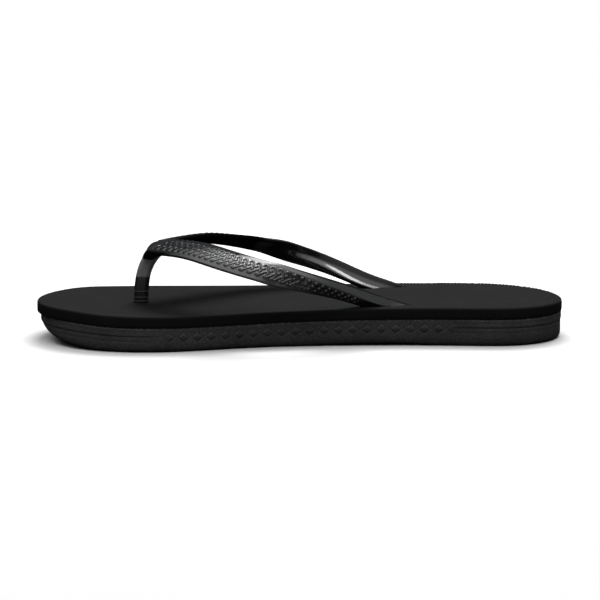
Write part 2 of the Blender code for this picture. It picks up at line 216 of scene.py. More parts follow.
# The band's section. Zones along the arm are distances from the nose. A pair of lying and
# standing values is for the flat front and for the rear, which stands on its edge.
RELIEF_SPACING = 0.23
PLAIN_SPACING = 0.8
FACE_COLUMNS = 58
EDGE_COLUMNS = 5
UNDER_COLUMNS = 18
NOT_ON_FACE = -1.0
STANDING_ROLLS = (30.0, 100.0)
FACE_CROWN = 0.4
INNER_DROP = (0.15, 1.0)
INNER_DROP_POWER = 1.1
OUTER_DROP = (0.85, 0.45)
OUTER_DROP_POWER = 1.25
OUTER_SLOPE = (0.42, 0.3)
INNER_REACH = (0.7, 0.3)
EDGE_REACH = 1.2
EDGE_POWER = (0.95, 0.75)
UNDER_HOLLOW = 0.2
BEAD_ZONE = (60.0, 100.0)
BEAD_PLACE = -0.3
BEAD_SHIFTS = ((0.66, 88.0, 126.0),)
BEAD_RAMP = 0.46
BEAD_RAMP_POWER = 0.95
BEAD_FLANK = 0.8
BEAD_FLANK_POWER = 1.7
BEAD_ROUNDNESS = 0.6
FLANGE_SHARE = 0.3

# The raised pattern
RELIEF_RISE = (6.0, 9.0)
RELIEF_END = 118.0
RELIEF_FALL = (RELIEF_END - 2.0, RELIEF_END)
RELIEF_HEIGHT = 0.5
RELIEF_PITCH = 3.6
# Bounds, as shares of the half width, and how they shift: by how much, and from where to where
RELIEF_INNER = -0.84
RELIEF_INNER_SHIFTS = ((0.36, 18.0, 60.0), (0.55, 78.0, RELIEF_END))
RELIEF_OUTER = 0.73
RELIEF_OUTER_SHIFTS = ((-0.03, 60.0, 90.0),)
CURL_HALF_WIDTH = 0.56
CURL_WALL = (-0.2, 0.14)
CURL_FULL_SPAN = 10.0
CURL_LEAST_WIDTH = 0.55
DOT_HEIGHT = 1.5
DOT_ZONE = (74.0, 92.0)
# Rows of dots: place across the relief, shift along it in pitches, and radius
DOT_ROWS = ((0.12, 0.0, 1.0), (0.5, 0.35, 0.85), (0.85, -0.2, 0.62))
# One curl of each row, as points along its middle line: distance along the band in pitches, and
# place across the relief from its inner side (0) to its outer side (1)
INNER_CURL = (
    (-0.14, 0.15), (-0.02, 0.04), (0.26, 0.06), (0.46, 0.22),
    (0.57, 0.39), (0.80, 0.46), (1.03, 0.40), (1.05, 0.33),
)
OUTER_CURL = (
    (0.60, 0.71), (0.68, 0.61), (0.44, 0.54), (0.12, 0.67),
    (-0.20, 0.84), (-0.46, 0.97), (-0.70, 0.94), (-0.66, 0.86),
)

# Toe post: height, middle X, length along X and length along Y
POST_Y = MIDDLE_LINE_START[1]
POST_FOOT_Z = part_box("footbed_front")[1].z / MM - 1.0
POST_RING_HEIGHTS = (0.4, 2.2, 5.1)
POST_STATIONS = [
    (13.5, -76.9, 6.8, 4.6),
    (18.0, -76.9, 6.8, 4.6),
    (24.0, -76.6, 7.0, 4.6),
    (29.5, -75.9, 7.0, 4.8),
    (34.5, -74.4, 7.5, 5.4),
    (38.3, -72.4, 8.2, 6.2),
    (40.6, -70.8, 9.4, 7.2),
    (42.2, -69.8, 9.4, 6.8),
]
POST_LEVELS = 110
POST_POINTS = 96
POST_CORNERS = (
    (1.0, -0.35), (1.0, 0.35), (0.5, 1.0), (-0.62, 1.0),
    (-1.0, 0.45), (-1.0, -0.45), (-0.62, -1.0), (0.5, -1.0),
)
POST_CORNER_SAMPLES = 512
POST_CORNER_SOFTNESS = 7.0
POST_RING_SIZE = 0.12
POST_RING_WIDTH = 0.3
POST_CLEARANCE = 0.25
POST_HOLE_HEIGHTS = (9.5, 14.0, 24.0)

# Stage, in metres and degrees. The lens is for a sensor 36 mm wide.
FLOOR_SIZE = 40.0
FLOOR_GAP = 0.0001
CAMERA_DISTANCE = 1.2
CAMERA_CENTRE_HEIGHT = 0.010
CAMERA_ELEVATION = 10.0
CAMERA_TILT = 9.6561
CAMERA_LENS = 147.96


# Curves


def smooth_profile(points):
    """A curve through (x, value) points that never overshoots between them; takes arrays."""
    xs, ys = np.array(points, float).T
    steps = np.diff(xs)
    slopes = np.diff(ys) / steps
    tangents = np.zeros(len(xs))
    tangents[0], tangents[-1] = slopes[0], slopes[-1]
    for i in range(1, len(xs) - 1):
        before, after = slopes[i - 1], slopes[i]
        if before * after > 0:
            tangents[i] = 2 * before * after / (before + after)

    def value(x):
        x = np.clip(x, xs[0], xs[-1])
        i = np.clip(np.searchsorted(xs, x, side="right") - 1, 0, len(steps) - 1)
        t = (x - xs[i]) / steps[i]
        rise = steps[i] * (tangents[i] * t * (1 - t) ** 2 - tangents[i + 1] * t**2 * (1 - t))
        return ys[i] + (ys[i + 1] - ys[i]) * t * t * (3 - 2 * t) + rise

    return value


def cubic_through(params, points):
    """A natural cubic spline through points of any dimension, for an array of parameters."""
    t = np.array(params, float)
    p = np.array(points, float)
    h = np.diff(t)
    count = len(t)
    system = np.eye(count)
    right = np.zeros_like(p)
    for i in range(1, count - 1):
        system[i, i - 1 : i + 2] = h[i - 1], 2 * (h[i - 1] + h[i]), h[i]
        right[i] = 6 * ((p[i + 1] - p[i]) / h[i] - (p[i] - p[i - 1]) / h[i - 1])
    bend = np.linalg.solve(system, right)

    def value(u):
        i = np.clip(np.searchsorted(t, u, side="right") - 1, 0, count - 2)
        a = (t[i + 1] - u)[:, None]
        b = (u - t[i])[:, None]
        step = h[i][:, None]
        straight = (p[i] * a + p[i + 1] * b) / step
        curved = bend[i] * (a**3 / step - a * step) + bend[i + 1] * (b**3 / step - b * step)
        return straight + curved / 6

    return value


def chord_lengths(points):
    gaps = np.linalg.norm(np.diff(np.array(points, float), axis=0), axis=1)
    return np.concatenate([[0.0], np.cumsum(gaps)])


def smoothstep(low, high, x):
    t = np.clip((x - low) / (high - low), 0.0, 1.0)
    return t * t * (3 - 2 * t)


def window(rise, fall, x):
    """A share that rises over one zone and falls back over another."""
    return smoothstep(*rise, x) * (1 - smoothstep(*fall, x))


def shifted(value, shifts, length):
    """A value that shifts by given amounts between given distances."""
    for shift, low, high in shifts:
        value = value + shift * smoothstep(low, high, length)
    return value


def between(pair, share):
    return pair[0] + (pair[1] - pair[0]) * share


def unit(vectors):
    return vectors / np.linalg.norm(vectors, axis=-1, keepdims=True)


# Meshes


def new_piece(name, points, faces, smooth_angle=40):
    """A mesh object from points in millimetres, which its material reads as "rest"."""
    mesh = bpy.data.meshes.new(name)
    mesh.from_pydata((np.asarray(points) * MM).tolist(), [], faces)
    mesh.validate()
    add_vectors(mesh, "rest", points)
    mesh.shade_smooth()
    mesh.set_sharp_from_angle(angle=math.radians(smooth_angle))
    piece = bpy.data.objects.new(name, mesh)
    bpy.context.scene.collection.objects.link(piece)
    return piece


def add_vectors(mesh, name, vectors):
    attribute = mesh.attributes.new(name, "FLOAT_VECTOR", "POINT")
    attribute.data.foreach_set("vector", np.asarray(vectors, np.float32).ravel())


def point_outwards(piece):
    """Turn all faces of a closed piece outwards."""
    bm = bmesh.new()
    bm.from_mesh(piece.data)
    bmesh.ops.recalc_face_normals(bm, faces=bm.faces[:])
    bm.to_mesh(piece.data)
    bm.free()


def ring_faces(ring_count, ring_size):
    """Quads between neighbouring closed rings whose vertices are numbered ring by ring."""
    ring = np.arange(ring_count - 1)[:, None] * ring_size
    here = np.arange(ring_size)[None, :]
    after = (here + 1) % ring_size
    above = ring + ring_size
    quads = np.stack([ring + here, ring + after, above + after, above + here], axis=-1)
    return quads.reshape(-1, 4).tolist()


def subtract(piece, *cutters):
    """Cut closed meshes out of a piece and remove them."""
    for cutter in cutters:
        boolean = piece.modifiers.new(cutter.name, "BOOLEAN")
        boolean.operation = "DIFFERENCE"
        boolean.solver = "EXACT"
        boolean.object = cutter
    apply_modifiers(piece)
    for cutter in cutters:
        bpy.data.objects.remove(cutter, do_unlink=True)


def apply_modifiers(piece):
    evaluated = piece.evaluated_get(bpy.context.evaluated_depsgraph_get())
    mesh = bpy.data.meshes.new_from_object(evaluated)
    piece.modifiers.clear()
    piece.data = mesh


def bend(piece, start):
    """Bake a piece's placement into its mesh. The start is not used."""
    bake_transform(piece)


def dress(piece, slot, material, *nodes):
    """Give a piece its material, and let it take the place of the frame's nodes. The slot is not
    used.
    """
    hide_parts(*nodes)
    piece.data.materials.append(material)


# Reading the sole's shape from the frame


def tree_of(*names):
    points, faces = [], []
    for name in names:
        mesh = frame["nodes"][name].data
        first = len(points)
        points += [vertex.co.copy() for vertex in mesh.vertices]
        faces += [[first + i for i in polygon.vertices] for polygon in mesh.polygons]
    return BVHTree.FromPolygons(points, faces)


def wall_outline(tree, height):
    """The sole's wall at one height: points at equal steps from the toe along the inner side to
    the heel, and back along the outer side."""
    hits = []
    for i in range(OUTLINE_RAYS):
        angle = 2 * math.pi * i / OUTLINE_RAYS
        direction = Vector((math.cos(angle), math.sin(angle), 0.0))
        start = Vector((0.0, PROBE_Y, height)) + direction * RAY_START
        hits.append(tree.ray_cast(start * MM, -direction)[0].xy / MM)
    return split_at_ends(soften_loop(np.array(hits)))


def even_loop(points, count):
    """A closed loop resampled at equal steps."""
    closed = np.vstack([points, points[:1]])
    lengths = chord_lengths(closed)
    steps = np.linspace(0.0, lengths[-1], count, endpoint=False)
    return np.column_stack([np.interp(steps, lengths, closed[:, k]) for k in range(2)])


def soften_loop(points):
    """Round the corners between the frame's flat facets with a Gaussian along the loop."""
    loop = even_loop(points, OUTLINE_SAMPLES)
    length = chord_lengths(np.vstack([loop, loop[:1]]))[-1]
    return gaussian_loop(loop, length / OUTLINE_SAMPLES, OUTLINE_SOFTNESS)


def gaussian_loop(loop, spacing, softness):
    """A closed loop smoothed by a Gaussian whose deviation is in the units of the spacing."""
    spectrum = np.fft.fft(loop[:, 0] + 1j * loop[:, 1])
    frequency = np.fft.fftfreq(len(loop), d=spacing) * 2 * math.pi
    softened = np.fft.ifft(spectrum * np.exp(-0.5 * (frequency * softness) ** 2))
    return np.column_stack([softened.real, softened.imag])


def split_at_ends(loop):
    """The loop started at the toe, with the same number of steps along each side."""
    loop = np.roll(loop, -int(np.argmin(loop[:, 0])), axis=0)
    heel = int(np.argmax(loop[:, 0]))
    inner, outer = loop[: heel + 1], np.vstack([loop[heel:], loop[:1]])
    sides = []
    for side in (inner, outer):
        lengths = chord_lengths(side)
        steps = np.linspace(0.0, lengths[-1], WALL_POINTS // 2, endpoint=False)
        sides.append(np.column_stack([np.interp(steps, lengths, side[:, k]) for k in range(2)]))
    return np.vstack(sides)


def outward_of(loop):
    along = np.roll(loop, -1, axis=0) - np.roll(loop, 1, axis=0)
    return unit(np.column_stack([along[:, 1], -along[:, 0]]))


def height_along(tree, direction):
    """The height of the sole's upper or lower face as a function of X."""
    low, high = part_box("footbed_front")[0].x / MM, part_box("footbed_rear")[1].x / MM
    xs, zs = [], []
    start_z = -HEIGHT_RAY_START * direction
    for x in np.arange(low + HEIGHT_STEP / 4, high, HEIGHT_STEP):
        if abs(x - BEND_X) < HEIGHT_STEP / 2:
            continue
        hit = tree.ray_cast(Vector((x, PROBE_Y, start_z)) * MM, Vector((0, 0, direction)))[0]
        if hit is not None:
            xs.append(x)
            zs.append(hit.z / MM)
    offsets = np.arange(-HEIGHT_KERNEL_REACH, HEIGHT_KERNEL_REACH + 1)
    kernel = np.exp(-0.5 * (offsets / HEIGHT_SOFTNESS) ** 2)
    padded = np.pad(zs, HEIGHT_KERNEL_REACH, mode="edge")
    smooth = np.convolve(padded, kernel / kernel.sum(), mode="valid")
    return lambda x: np.interp(x, xs, smooth)


# Sole layers


def layer(name, rings, columns, bottom_columns, top_surface, bottom_surface):
    """A closed sole layer: wall rings, bottom to top, and a grid of rows across each face."""
    rings = np.asarray(rings)
    count = rings.shape[1]
    points = [rings.reshape(-1, 3)]
    faces = ring_faces(len(rings), count)
    first = len(rings) * count
    for ring_index, width, surface in (
        (len(rings) - 1, columns, top_surface),
        (0, bottom_columns, bottom_surface),
    ):
        ring = rings[ring_index]
        half = count // 2
        inner = ring[1:half]
        outer = ring[:half:-1]
        fractions = (np.arange(width) + 1) / (width + 1)
        grid = inner[:, None, :] + (outer - inner)[:, None, :] * fractions[None, :, None]
        grid[..., 2] = surface(grid[..., 0], grid[..., 1])
        inside = first + np.arange((half - 1) * width).reshape(half - 1, width)
        start = ring_index * count
        rows = np.arange(1, half)
        table = np.column_stack([start + rows, inside, start + count - rows])
        quads = np.stack([table[:-1, :-1], table[:-1, 1:], table[1:, 1:], table[1:, :-1]], axis=-1)
        cap = quads.reshape(-1, 4).tolist()
        for tip, row in ((start, table[0]), (start + half, table[-1])):
            cap += [[tip, int(a), int(b)] for a, b in zip(row[:-1], row[1:])]
        faces += cap
        points.append(grid.reshape(-1, 3))
        first += (half - 1) * width
    piece = new_piece(name, np.vstack(points), faces)
    point_outwards(piece)
    return piece


def wall_ring(loop, outward, offset, heights):
    plan = loop + outward * np.broadcast_to(offset, len(loop))[:, None]
    return np.column_stack([plan, heights])


def grain(x, y):
    """Staggered rows of small grains that lie across the heel, faded in behind the arch."""
    row = np.round(x / GRAIN_PITCH_X)
    wander = GRAIN_ROW_SHIFT * np.sin(row * GRAIN_ROW_FREQUENCY)
    wander = wander + GRAIN_WAVE * np.sin(y * GRAIN_WAVE_FREQUENCY + row * GRAIN_WAVE_ROW_SHIFT)
    along = (y + wander * GRAIN_PITCH_Y) / GRAIN_PITCH_Y + 0.5 * (row % 2)
    dx = (x / GRAIN_PITCH_X - row) * 2
    dy = (along - np.round(along)) * 2
    power_x, power_y = GRAIN_POWERS
    bump = np.clip(1 - np.abs(dx) ** power_x, 0, 1) * np.clip(1 - np.abs(dy) ** power_y, 0, 1)
    return GRAIN_HEIGHT * bump * smoothstep(GRAIN_START_X, GRAIN_START_X + GRAIN_FADE, x)


def footbed():
    tree = tree_of("footbed_front", "footbed_rear")
    loop = wall_outline(tree, FOOTBED_PROBE_Z)
    outward = outward_of(loop)
    top = height_along(tree, -1)
    bottom = height_along(tree, 1)
    x, y = loop.T
    high, low = top(x), bottom(x)
    wall = [(offset, low + rise) for offset, rise in FOOTBED_LOWER_EDGE]
    wall_low = low + FOOTBED_LOWER_EDGE[-1][1]
    wall_high = high - FOOTBED_WALL_TOP
    for share in FOOTBED_WALL_SHARES:
        bulge = FOOTBED_WALL_BULGE * math.sin(math.pi * share)
        wall.append((bulge, wall_low + (wall_high - wall_low) * share))
    wall += [(offset, high - drop) for offset, drop in FOOTBED_UPPER_EDGE]
    rings = [wall_ring(loop, outward, offset, z) for offset, z in wall]
    rim = wall_ring(loop, outward, -FOOTBED_RIM_INSET, high)
    rim[:, 2] = high + grain(rim[:, 0], rim[:, 1])
    rings.append(rim)
    piece = layer(
        "footbed",
        rings,
        FOOTBED_COLUMNS,
        FOOTBED_BOTTOM_COLUMNS,
        lambda x, y: top(x) + grain(x, y),
        lambda x, y: bottom(x),
    )
    subtract(piece, strap_hole("inner_slot", -1), strap_hole("outer_slot", 1), post_hole())
    bend(piece, SOLE_BLEND_START)
    dress(piece, "footbed", footbed_foam(), "footbed_front", "footbed_rear")


def side_lengths(loop):
    """Distance from the toe along each side, so that a pattern mirrors between the sides."""
    half = len(loop) // 2
    inner = chord_lengths(loop[:half])
    outer = chord_lengths(loop[half:][::-1])[::-1]
    return np.concatenate([inner, outer])


def diamonds(length, depth, x):
    """Raised diamonds with a groove round each, in one row below the seam."""
    ds = (length / DIAMOND_PITCH - np.round(length / DIAMOND_PITCH)) * DIAMOND_PITCH
    q = np.abs(ds) / DIAMOND_HALF_LENGTH + np.abs(depth - DIAMOND_DEPTH) / DIAMOND_HALF_HEIGHT
    raised = DIAMOND_HEIGHT * np.clip((1.0 - q) * DIAMOND_SLOPE, 0, 1)
    from_groove = np.abs(q - DIAMOND_GROOVE_PLACE) / DIAMOND_GROOVE_WIDTH
    groove = DIAMOND_GROOVE * np.clip(1 - from_groove, 0, 1)
    zone = window(DIAMOND_RISE_X, DIAMOND_FALL_X, x)
    return (raised - groove) * zone, np.clip(DIAMOND_SHADE_REACH - q, 0, 1) * zone


def knurl(length, depth):
    """Fine crossed ridges."""
    a = np.sin(2 * math.pi * (length + depth) / KNURL_PITCH)
    b = np.sin(2 * math.pi * (length - depth) / KNURL_PITCH)
    return KNURL_HEIGHT * np.maximum(a, b)


def ledges(depth, x):
    """Long steps round the toe and the heel."""
    ends = (1 - smoothstep(*LEDGE_TOE_ZONE, x)) + smoothstep(*LEDGE_HEEL_ZONE, x)
    step = LEDGE_HEIGHT * (1 - smoothstep(*LEDGE_END, depth))
    grooves = 0.0
    for at, size in LEDGE_GROOVES:
        grooves = grooves + size * np.exp(-(((depth - at) / LEDGE_GROOVE_WIDTH) ** 2))
    return (step - grooves) * ends, ends


def tread(x, y):
    """Shallow zigzag grooves across the underside."""
    zigzag = np.abs((y / TREAD_ZIGZAG_LENGTH) % 2 - 1) * TREAD_ZIGZAG_DEPTH
    phase = ((x + zigzag) / TREAD_PITCH) % 1.0
    groove = 1 - smoothstep(*TREAD_GROOVE, np.abs(phase - 0.5))
    return TREAD_DEPTH * groove


def seam_roughness(length, depth):
    """Small waves that break up the outsole's upper edge."""
    first, second = SEAM_ROUGHNESS_WAVES
    waves = SEAM_ROUGHNESS * np.sin(length * first) * np.sin(length * second + 1)
    return waves * (1 - smoothstep(*SEAM_ROUGHNESS_END, depth))


def outsole():
    tree = tree_of("outsole_front", "outsole_rear")
    loop = wall_outline(tree, OUTSOLE_PROBE_Z)
    outward = outward_of(loop)
    footbed_tree = tree_of("footbed_front", "footbed_rear")
    seam_height = height_along(footbed_tree, 1)
    underside = height_along(tree, 1)
    x, y = loop.T
    seam = seam_height(x) - OUTSOLE_SEAM_GAP
    ground = underside(x)
    length = side_lengths(loop)
    edge_in = smooth_profile(OUTSOLE_LOWER_EDGE)
    seam_in = smooth_profile(OUTSOLE_SEAM_EDGE)
    rings = []
    wall_data = []
    for level in range(OUTSOLE_WALL_LEVELS + 1):
        share = level / OUTSOLE_WALL_LEVELS
        share = share - OUTSOLE_LEVEL_CROWDING * math.sin(2 * math.pi * share) / (2 * math.pi)
        height = (seam - ground) * share
        depth = (seam - ground) - height
        face = smoothstep(*PATTERN_FROM_GROUND, height) * smoothstep(*PATTERN_FROM_SEAM, depth)
        raised, on_diamond = diamonds(length, depth, x)
        long_steps, at_ends = ledges(depth, x)
        band = (1 - smoothstep(*KNURL_END, depth)) * (1 - on_diamond)
        band = band * (1 - KNURL_LOSS_AT_ENDS * at_ends)
        pattern = face * (raised + long_steps + knurl(length, depth) * band)
        offset = edge_in(height) + seam_in(depth) + pattern + seam_roughness(length, depth)
        rings.append(wall_ring(loop, outward, offset, ground + height))
        wall_data.append(np.column_stack([length, depth, on_diamond]))
    piece = layer(
        "outsole",
        rings,
        OUTSOLE_TOP_COLUMNS,
        OUTSOLE_COLUMNS,
        lambda x, y: seam_height(x) - OUTSOLE_SEAM_GAP,
        lambda x, y: underside(x) + tread(x, y),
    )
    wall = np.zeros((len(piece.data.vertices), 3), np.float32)
    wall[:, 1] = OFF_WALL_DEPTH
    stacked = np.vstack(wall_data)
    wall[: len(stacked)] = stacked
    add_vectors(piece.data, "wall", wall)
    subtract(piece, *[plug_hole(name) for name in ("toe_plug", "inner_plug", "outer_plug")])
    bend(piece, SOLE_BLEND_START)
    dress(piece, "outsole", outsole_rubber(), "outsole_front", "outsole_rear")


# Turned shapes


def turned(name, profile, x, y):
    """A closed turned solid from (radius, height) points, bottom to top, that start and end on
    the axis."""
    angles = 2 * math.pi * np.arange(TURNED_STEPS) / TURNED_STEPS
    circle_x, circle_y = np.cos(angles), np.sin(angles)
    inner = profile[1:-1]
    rings = []
    for radius, z in inner:
        heights = np.full(TURNED_STEPS, z)
        rings.append(np.column_stack([x + radius * circle_x, y + radius * circle_y, heights]))
    points = np.vstack([*rings, [[x, y, profile[0][1]], [x, y, profile[-1][1]]]])
    faces = ring_faces(len(inner), TURNED_STEPS)
    low, high = len(points) - 2, len(points) - 1
    last = (len(inner) - 1) * TURNED_STEPS
    for i in range(TURNED_STEPS):
        j = (i + 1) % TURNED_STEPS
        faces.append([low, j, i])
        faces.append([high, last + i, last + j])
    return new_piece(name, points, faces)


def plug_centre(name):
    low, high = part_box(name)
    return (low.x + high.x) / 2 / MM, (low.y + high.y) / 2 / MM


def plug_hole(name):
    low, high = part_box(name)
    radius = (high.x - low.x) / 2 / MM + PLUG_CLEARANCE
    profile = [
        (0, PLUG_HOLE_BOTTOM_Z),
        (radius, PLUG_HOLE_BOTTOM_Z),
        (radius, PLUG_HOLE_STEP_Z),
        (PLUG_HOLE_STEM_RADIUS, PLUG_HOLE_STEP_Z),
        (PLUG_HOLE_STEM_RADIUS, PLUG_HOLE_TOP_Z),
        (0, PLUG_HOLE_TOP_Z),
    ]
    return turned(name + "_hole", profile, *plug_centre(name))


def plug(name, body):
    """A round plug head with a raised rim and a dished middle, and its stem."""
    low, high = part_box(name)
    radius = (high.x - low.x) / 2 / MM
    base, top = low.z / MM, high.z / MM
    profile = [(r, base + z) for r, z in PLUG_FACE]
    profile += [(radius + r, base + z) for r, z in PLUG_RIM]
    profile += [(r, base + z) for r, z in PLUG_STEM_FOOT]
    profile += [
        (PLUG_STEM_RADIUS, top - PLUG_STEM_CHAMFER),
        (PLUG_STEM_RADIUS - PLUG_STEM_CHAMFER, top),
        (0.0, top),
    ]
    piece = turned("visual_" + name, profile, *plug_centre(name))
    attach(piece, body)
    dress(piece, "plug", plug_rubber(), name)


# Strap


def strap_frames(lengths):
    """Centre, across and face directions, and width, thickness, roll and bevel, at distances
    along one arm from the nose."""
    stations = np.array(STRAP_STATIONS)
    centres = stations[:, :3]
    both_arms = np.concatenate([centres[:0:-1] * (1, -1, 1), centres])
    params = chord_lengths(both_arms)
    params -= params[len(centres) - 1]
    centre_at = cubic_through(params, both_arms)
    own = params[len(centres) - 1 :]
    roll_at, width_at, thickness_at, bevel_at = (
        smooth_profile(list(zip(own, stations[:, column]))) for column in range(3, 7)
    )
    centre = centre_at(lengths)
    ahead = centre_at(lengths + STRAP_TANGENT_STEP)
    along = unit(ahead - centre_at(lengths - STRAP_TANGENT_STEP))
    outward = unit(np.cross((0.0, 0.0, 1.0), along))
    normal = np.cross(along, outward)
    roll = np.radians(roll_at(lengths))[:, None]
    across = np.cos(roll) * outward - np.sin(roll) * normal
    face = np.sin(roll) * outward + np.cos(roll) * normal
    sizes = (width_at(lengths), thickness_at(lengths), roll_at(lengths), bevel_at(lengths))
    return centre, across, face, sizes


def arm_length():
    return chord_lengths(np.array(STRAP_STATIONS)[:, :3])[-1]


def arm_spacing():
    """Distances along an arm: fine where the relief is, wider on the plain end."""
    fine = np.arange(0.0, RELIEF_END + 1, RELIEF_SPACING)
    plain_count = int((arm_length() - fine[-1]) / PLAIN_SPACING)
    plain = np.linspace(fine[-1], arm_length(), plain_count + 1)[1:]
    return np.concatenate([fine, plain])


def section(width, thickness, roll, bevel, beaded, bead_start):
    """Outlines of the band, whose face points come first. In front it lies flat, with a hollow
    underside. Behind it stands on its edge: the face has a plain bevel along its upper edge, and
    the underside is a thin flange above a round bead."""
    a = (width / 2)[:, None]
    b = (thickness / 2)[:, None]
    bevel = bevel[:, None]
    standing = smoothstep(*STANDING_ROLLS, roll)[:, None]
    lying = 1 - standing
    beaded = beaded[:, None]
    bead_start = bead_start[:, None]
    inner_drop = between(INNER_DROP, standing)
    outer_drop = between(OUTER_DROP, standing)
    outer_slope = between(OUTER_SLOPE, standing)
    outer_reach = np.minimum(b * (2 - outer_drop) / 2, EDGE_REACH)
    inner_reach = np.minimum(b * between(INNER_REACH, standing), EDGE_REACH)

    def face_height(place):
        down_in = np.clip((bevel - 1 - place) / bevel, 0, 1) ** INNER_DROP_POWER
        down_out = np.clip((place - 1 + outer_slope) / outer_slope, 0, 1) ** OUTER_DROP_POWER
        bevelled = b * (1 - inner_drop * down_in - outer_drop * down_out)
        return bevelled - FACE_CROWN * place**2 * lying

    def under_height(place):
        hollow = 1 - UNDER_HOLLOW * (1 - place**2)
        thinned = 1 - (1 - FLANGE_SHARE) * standing * (place < 0) * place**2
        ramp = np.clip((place - bead_start) / BEAD_RAMP, 0, 1) ** BEAD_RAMP_POWER
        past_top = np.clip((place - bead_start - BEAD_RAMP) / BEAD_FLANK, 0, 1)
        flank = np.clip(1 - past_top**BEAD_FLANK_POWER, 0, 1) ** BEAD_ROUNDNESS
        bead = FLANGE_SHARE + (1 - FLANGE_SHARE) * np.minimum(ramp, flank)
        return -b * ((1 - beaded) * hollow * thinned + beaded * bead)

    low, high = inner_reach / a - 1, 1 - outer_reach / a
    face = low + (high - low) * np.linspace(0, 1, FACE_COLUMNS)[None, :]
    under = high + (low - high) * np.linspace(0, 1, UNDER_COLUMNS)[None, :]
    parts = [(face * a, face_height(face))]
    power = between(EDGE_POWER, standing)
    for place, reach, side in ((high, outer_reach, 1), (low, inner_reach, -1)):
        top, bottom = face_height(place), under_height(place)
        turn = np.linspace(0, math.pi, EDGE_COLUMNS + 2)[None, 1:-1]
        bulge = np.sin(turn) ** power
        rise = np.sign(np.cos(turn)) * np.abs(np.cos(turn)) ** power
        middle = (top + bottom) / 2
        parts.append((place * a + side * reach * bulge, middle + side * (top - bottom) / 2 * rise))
        if side == 1:
            parts.append((under * a, under_height(under)))
    across = np.concatenate([part[0] for part in parts], axis=1)
    through = np.concatenate([part[1] for part in parts], axis=1)
    return across, through


def relief_height(length, share, width):
    """Height of the two rows of curls over the band's face, which become three rows of dots."""
    low = shifted(RELIEF_INNER, RELIEF_INNER_SHIFTS, length)
    high = shifted(RELIEF_OUTER, RELIEF_OUTER_SHIFTS, length)
    place = (share - low) / (high - low)
    span = (high - low) / 2 * width
    phase = length / RELIEF_PITCH
    nearest = np.full(np.broadcast(length, share, width).shape, np.inf)
    local = phase - np.round(phase)
    for curl in (INNER_CURL, OUTER_CURL):
        for shift in (-1, 0, 1):
            for a, b in zip(curl, curl[1:]):
                start = ((a[0] + shift) * RELIEF_PITCH, a[1])
                end = ((b[0] + shift) * RELIEF_PITCH, b[1])
                distance = scaled_distance(local * RELIEF_PITCH, place, start, end, span)
                nearest = np.minimum(nearest, distance)
    edge = CURL_HALF_WIDTH * np.clip(span / CURL_FULL_SPAN, CURL_LEAST_WIDTH, 1.0)
    curls = 1 - smoothstep(edge + CURL_WALL[0], edge + CURL_WALL[1], nearest)
    dots = np.zeros_like(nearest)
    for at, offset, radius in DOT_ROWS:
        along = (phase + offset - np.round(phase + offset)) * RELIEF_PITCH
        reach = np.hypot(along, (place - at) * span) / radius
        dots = np.maximum(dots, np.sqrt(np.clip(1 - reach**2, 0, 1)) * radius)
    mixed = smoothstep(*DOT_ZONE, length)
    return RELIEF_HEIGHT * (curls * (1 - mixed) + DOT_HEIGHT * dots * mixed)


def scaled_distance(px, place, start, end, span):
    """Distance to a segment whose second coordinate is a share of the span."""
    ax, ay = start[0], start[1] * span
    bx, by = end[0], end[1] * span
    dx, dy = bx - ax, by - ay
    py = place * span
    t = np.clip(((px - ax) * dx + (py - ay) * dy) / (dx * dx + dy * dy), 0, 1)
    return np.hypot(px - ax - t * dx, py - ay - t * dy)


def to_frame(points, side):
    """From distance behind the post, half spread and height to the frame's X, Y and Z."""
    start_x, start_y = MIDDLE_LINE_START
    behind, spread, height = points[..., 0], points[..., 1], points[..., 2]
    y = start_y + behind * MIDDLE_LINE_SLOPE + side * spread
    return np.stack([start_x + behind, y, height], axis=-1)


def band_rings(lengths, grow=0.0, relief=True):
    """Rings of the band along one arm, with the relief's height and the place across, as a share
    of the half width, of each of their points."""
    centre, across, face, (width, thickness, roll, bevel) = strap_frames(lengths)
    beaded = smoothstep(*BEAD_ZONE, lengths)
    bead_start = shifted(BEAD_PLACE, BEAD_SHIFTS, lengths)
    t, n = section(width + 2 * grow, thickness + 2 * grow, roll, bevel, beaded, bead_start)
    share = t / (width / 2)[:, None]
    height = np.zeros_like(t)
    if relief:
        on_face = share[:, :FACE_COLUMNS]
        height[:, :FACE_COLUMNS] = relief_height(lengths[:, None], on_face, width[:, None])
        height *= window(RELIEF_RISE, RELIEF_FALL, lengths)[:, None]
    rounding = NOSE_ROUNDING * (1 - smoothstep(0.0, NOSE_ROUNDING_END, lengths))[:, None]
    skirt = NOSE_SKIRT * window(NOSE_SKIRT_RISE, NOSE_SKIRT_FALL, lengths)[:, None]
    n = n + height - rounding * np.maximum(share, 0.0) ** NOSE_ROUNDING_POWER
    n = n - skirt * smoothstep(NOSE_SKIRT_SHARE, 1.0, share)
    points = centre[:, None, :] + t[..., None] * across[:, None, :]
    points = points + n[..., None] * face[:, None, :]
    return points, height, share


def closed_loft(name, rings, smooth_angle=40):
    count, size = rings.shape[:2]
    faces = ring_faces(count, size)
    faces.append(list(range(size)))
    faces.append(list(range((count - 1) * size, count * size)))
    piece = new_piece(name, rings.reshape(-1, 3), faces, smooth_angle)
    point_outwards(piece)
    return piece


def both_arms(values):
    """Values along one arm, as values from the inner arm's end over the nose to the outer's."""
    return np.concatenate([values[::-1], values[1:]])


